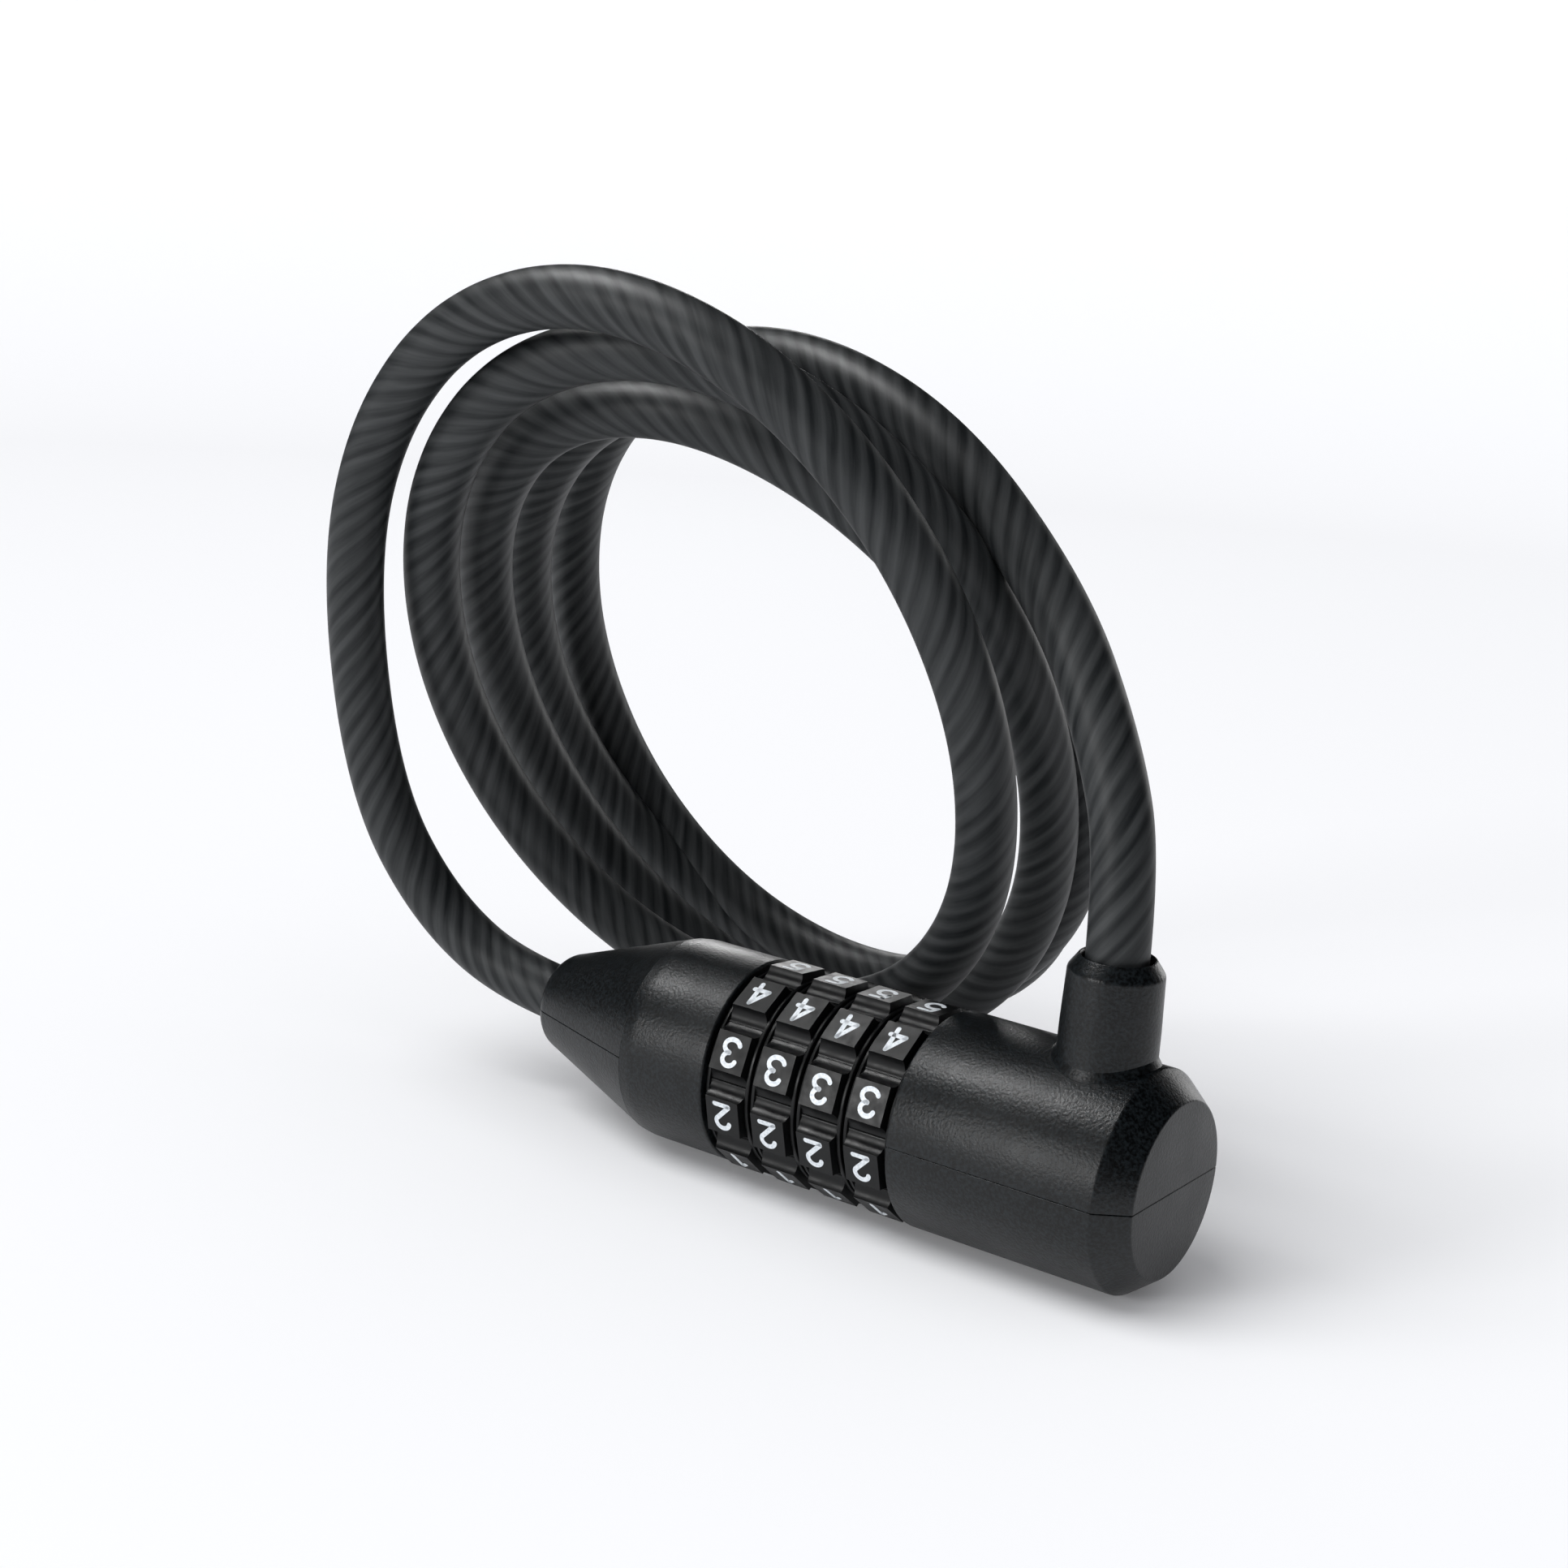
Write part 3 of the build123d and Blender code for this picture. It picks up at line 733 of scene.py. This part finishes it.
# %% Metals
waves_per_unit = 20 / (2 * math.pi)
lathe_pitch, wire_pitch = 0.5 * mm, 1.2 * mm
steel, shader = new_material("nickel_plated_turned_steel", "#c9c8c4", 0.3, Metallic=1.0)
place = add_node(steel, "ShaderNodeTexCoord")
rings_of_tool = add_node(steel, "ShaderNodeTexWave",
                         {"Scale": 1 / (lathe_pitch * waves_per_unit), "Distortion": 0.6},
                         {"Vector": place.outputs["Object"]})
bump = add_node(steel, "ShaderNodeBump", {"Strength": 0.2, "Distance": 0.01 * mm},
                {"Height": rings_of_tool.outputs["Fac"]})
link(steel, bump.outputs["Normal"], shader.inputs["Normal"])

zinc, shader = new_material("die_cast_zinc", "#a6a7a8", 0.45, Metallic=1.0)
place = add_node(zinc, "ShaderNodeTexCoord")
cloud = add_node(zinc, "ShaderNodeTexNoise", {"Scale": 1 / (2 * mm), "Detail": 4.0},
                 {"Vector": place.outputs["Object"]})
gloss = add_node(zinc, "ShaderNodeMapRange", {"To Min": 0.35, "To Max": 0.6}, {"Value": cloud.outputs["Fac"]})
link(zinc, gloss.outputs["Result"], shader.inputs["Roughness"])

rope, shader = new_material("galvanised_wire_rope", "#9a958c", 0.4, Metallic=1.0)
place = add_node(rope, "ShaderNodeTexCoord")
wires = add_node(rope, "ShaderNodeTexWave",
                 {"Scale": 1 / (wire_pitch * waves_per_unit), "Distortion": 1.0},
                 {"Vector": place.outputs["Object"]})
bump = add_node(rope, "ShaderNodeBump", {"Strength": 0.6, "Distance": 0.1 * mm},
                {"Height": wires.outputs["Fac"]})
link(rope, bump.outputs["Normal"], shader.inputs["Normal"])

finish_of_slot = {"cast_zinc": zinc, "turned_steel": steel, "wire_rope": rope, "moulded_black": nylon,
                  "dial_black": abs_black, "cable_sleeve": sleeved}
for subpart in frame["record"]["subparts"]:
    slots = frame["nodes"][subpart["node"]].data.materials
    slots.clear()
    slots.append(finish_of_slot[subpart["material_slot"]])

# %% [markdown]
# ## Riding on the frame
# The shells, dials, figures and the coil's length of cable each move with a body of the
# CAD model, and the shells, dials and coil hide the nodes that they stand for. The plug's
# length of cable moves with no body; it only hides the plug's lead.

# %% Bodies, nodes and slots
for piece, body, nodes, slot in [
        (lower_shell, "lock_body", ["shell_lower"], "moulded_black"),
        (upper_shell, "lock_body", ["shell_upper"], "moulded_black"),
        (collar, "plug", ["collar"], "moulded_black"),
        (tail_lower, "plug", ["cone_lower"], "moulded_black"),
        (tail_upper, "plug", ["cone_upper"], "moulded_black"),
        (coil_cable, "lock_body", ["cable_first_turn", "cable_coil", "cable_post_lead"], "cable_sleeve")]:
    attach(piece, body)
    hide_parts(*nodes)
for number, (ring_piece, figure_piece) in enumerate(zip(dials, figures), 1):
    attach(ring_piece, f"number_dial_{number}")
    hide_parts(f"dial_{number}")
    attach(figure_piece, f"number_dial_{number}")
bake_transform(plug_cable)
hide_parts("cable_plug_lead")

# %% [markdown]
# ## Stage
# The lock stands on white paper in the middle of a white bowl, so no horizon shows
# from any side. The paper's light is kept even: its glow is the brightness wanted, less
# the room's light, less the key light's share, which goes by the cosine between the
# paper and the light. Only the camera sees the bowl. Neither the bowl nor the room's
# light shows in the lock's reflections, which keeps the black shells black.

# %% Paper
key_light = Vector((-0.36, -0.36, 0.86)).normalized()
paper_level, key_level, room_level, paper_white = 0.95, 0.48, 0.40, 0.9
floor_half, bowl_foot_r, bowl_bend_r, bowl_top = 0.95, 0.9, 0.6, 1.6
paper, shader = new_material("white_paper", "#f4f5f7", 0.9, Specular_IOR_Level=0.1)
place = add_node(paper, "ShaderNodeTexCoord")
facing = add_node(paper, "ShaderNodeVectorMath", {"operation": "DOT_PRODUCT", 1: key_light},
                  {0: place.outputs["Normal"]})
lit = add_node(paper, "ShaderNodeMath", {"operation": "MAXIMUM", 1: 0.0}, {0: facing.outputs["Value"]})
glow = add_node(paper, "ShaderNodeMath",
                {"operation": "MULTIPLY_ADD", 1: -key_level / key_light.z, 2: paper_level - room_level},
                {0: lit.outputs["Value"]})
shader.inputs["Emission Color"].default_value = linear("#fdfdff")
link(paper, glow.outputs["Value"], shader.inputs["Emission Strength"])


def paper_piece(name, points, faces):
    """A smooth sheet of the paper that belongs to the stage."""
    mesh = bpy.data.meshes.new(name)
    mesh.from_pydata(points.tolist(), [], faces.tolist())
    mesh.materials.append(paper)
    mesh.polygons.foreach_set("use_smooth", np.ones(len(mesh.polygons), bool))
    piece = bpy.data.objects.new(name, mesh)
    bpy.context.collection.objects.link(piece)
    return piece


def bowl(steps=96):
    """A quarter circle that starts level at the foot's radius and goes on as a wall, turned
    about the upright axis: x is the radius times the cosine of the angle, y times its sine."""
    bend = np.linspace(0, math.pi / 2, 40)
    radius = np.append(bowl_foot_r + bowl_bend_r * np.sin(bend), bowl_foot_r + bowl_bend_r)
    height = np.append(bowl_bend_r * (1 - np.cos(bend)), bowl_top)
    angle = np.linspace(0, 2 * math.pi, steps, endpoint=False)[:, None]
    points = np.stack([radius * np.cos(angle), radius * np.sin(angle), height + 0 * angle], -1)
    return points.reshape(-1, 3), grid_faces(steps, len(radius), True)


floor_corners = floor_half * np.array([[-1, -1, 0], [1, -1, 0], [1, 1, 0], [-1, 1, 0]])
paper_piece("paper_floor", floor_corners, np.array([[0, 1, 2, 3]]))
backdrop = paper_piece("paper_bowl", *bowl())
backdrop.visible_glossy = False
backdrop.visible_diffuse = False
backdrop.visible_shadow = False
print("bowl faces", len(backdrop.data.polygons))

# %% [markdown]
# The key light is broad and high on the left, and lights the paper and the plain
# colours only. The reflections have cards of their own: a bright one overhead, which
# makes the line along the barrel's shoulder, a small one behind on the left and a wide
# weak one behind, which edge the dials and the cable. A wide card low in front shows
# in the reflections and lights the colours too.

# %% Lights
world = bpy.data.worlds.new("studio")
bpy.context.scene.world = world
world.use_nodes = True
background = world.node_tree.nodes["Background"]
background.inputs["Color"].default_value = linear("#fcfcff")
background.inputs["Strength"].default_value = room_level
world.cycles_visibility.glossy = False


def lamp_towards(name, kind, source, distance, energy, softness):
    """A lamp in a direction from the lock, facing it. Softness is a square lamp's side in metres, or how many
    degrees wide a sun's disc is."""
    data = bpy.data.lights.new(name, kind)
    data.energy = energy
    if kind == "SUN":
        data.angle = math.radians(softness)
    else:
        data.size = softness
    lamp = bpy.data.objects.new(name, data)
    bpy.context.collection.objects.link(lamp)
    lamp.location = Vector(source).normalized() * distance
    lamp.rotation_euler = Vector(source).to_track_quat("Z", "Y").to_euler()
    return lamp


key_energy = key_level / key_light.z * math.pi / paper_white
key = lamp_towards("key_soft", "SUN", key_light, 1.0, key_energy, 45)
key.visible_glossy = False
overhead = lamp_towards("card_overhead", "AREA", (-0.50, -0.15, 0.84), 0.9, 7.0, 0.24)
overhead.visible_diffuse = False
behind = lamp_towards("card_behind", "AREA", (-0.60, 0.77, 0.30), 0.9, 0.9, 0.16)
behind.visible_diffuse = False
lamp_towards("card_front", "AREA", (-0.38, -0.88, 0.25), 1.6, 8.8, 0.46)
rear = lamp_towards("card_rear", "AREA", (0.10, 0.98, 0.15), 1.6, 3.5, 0.6)
rear.visible_diffuse = False
bpy.context.scene.view_settings.view_transform = "Standard"
print("stage set")
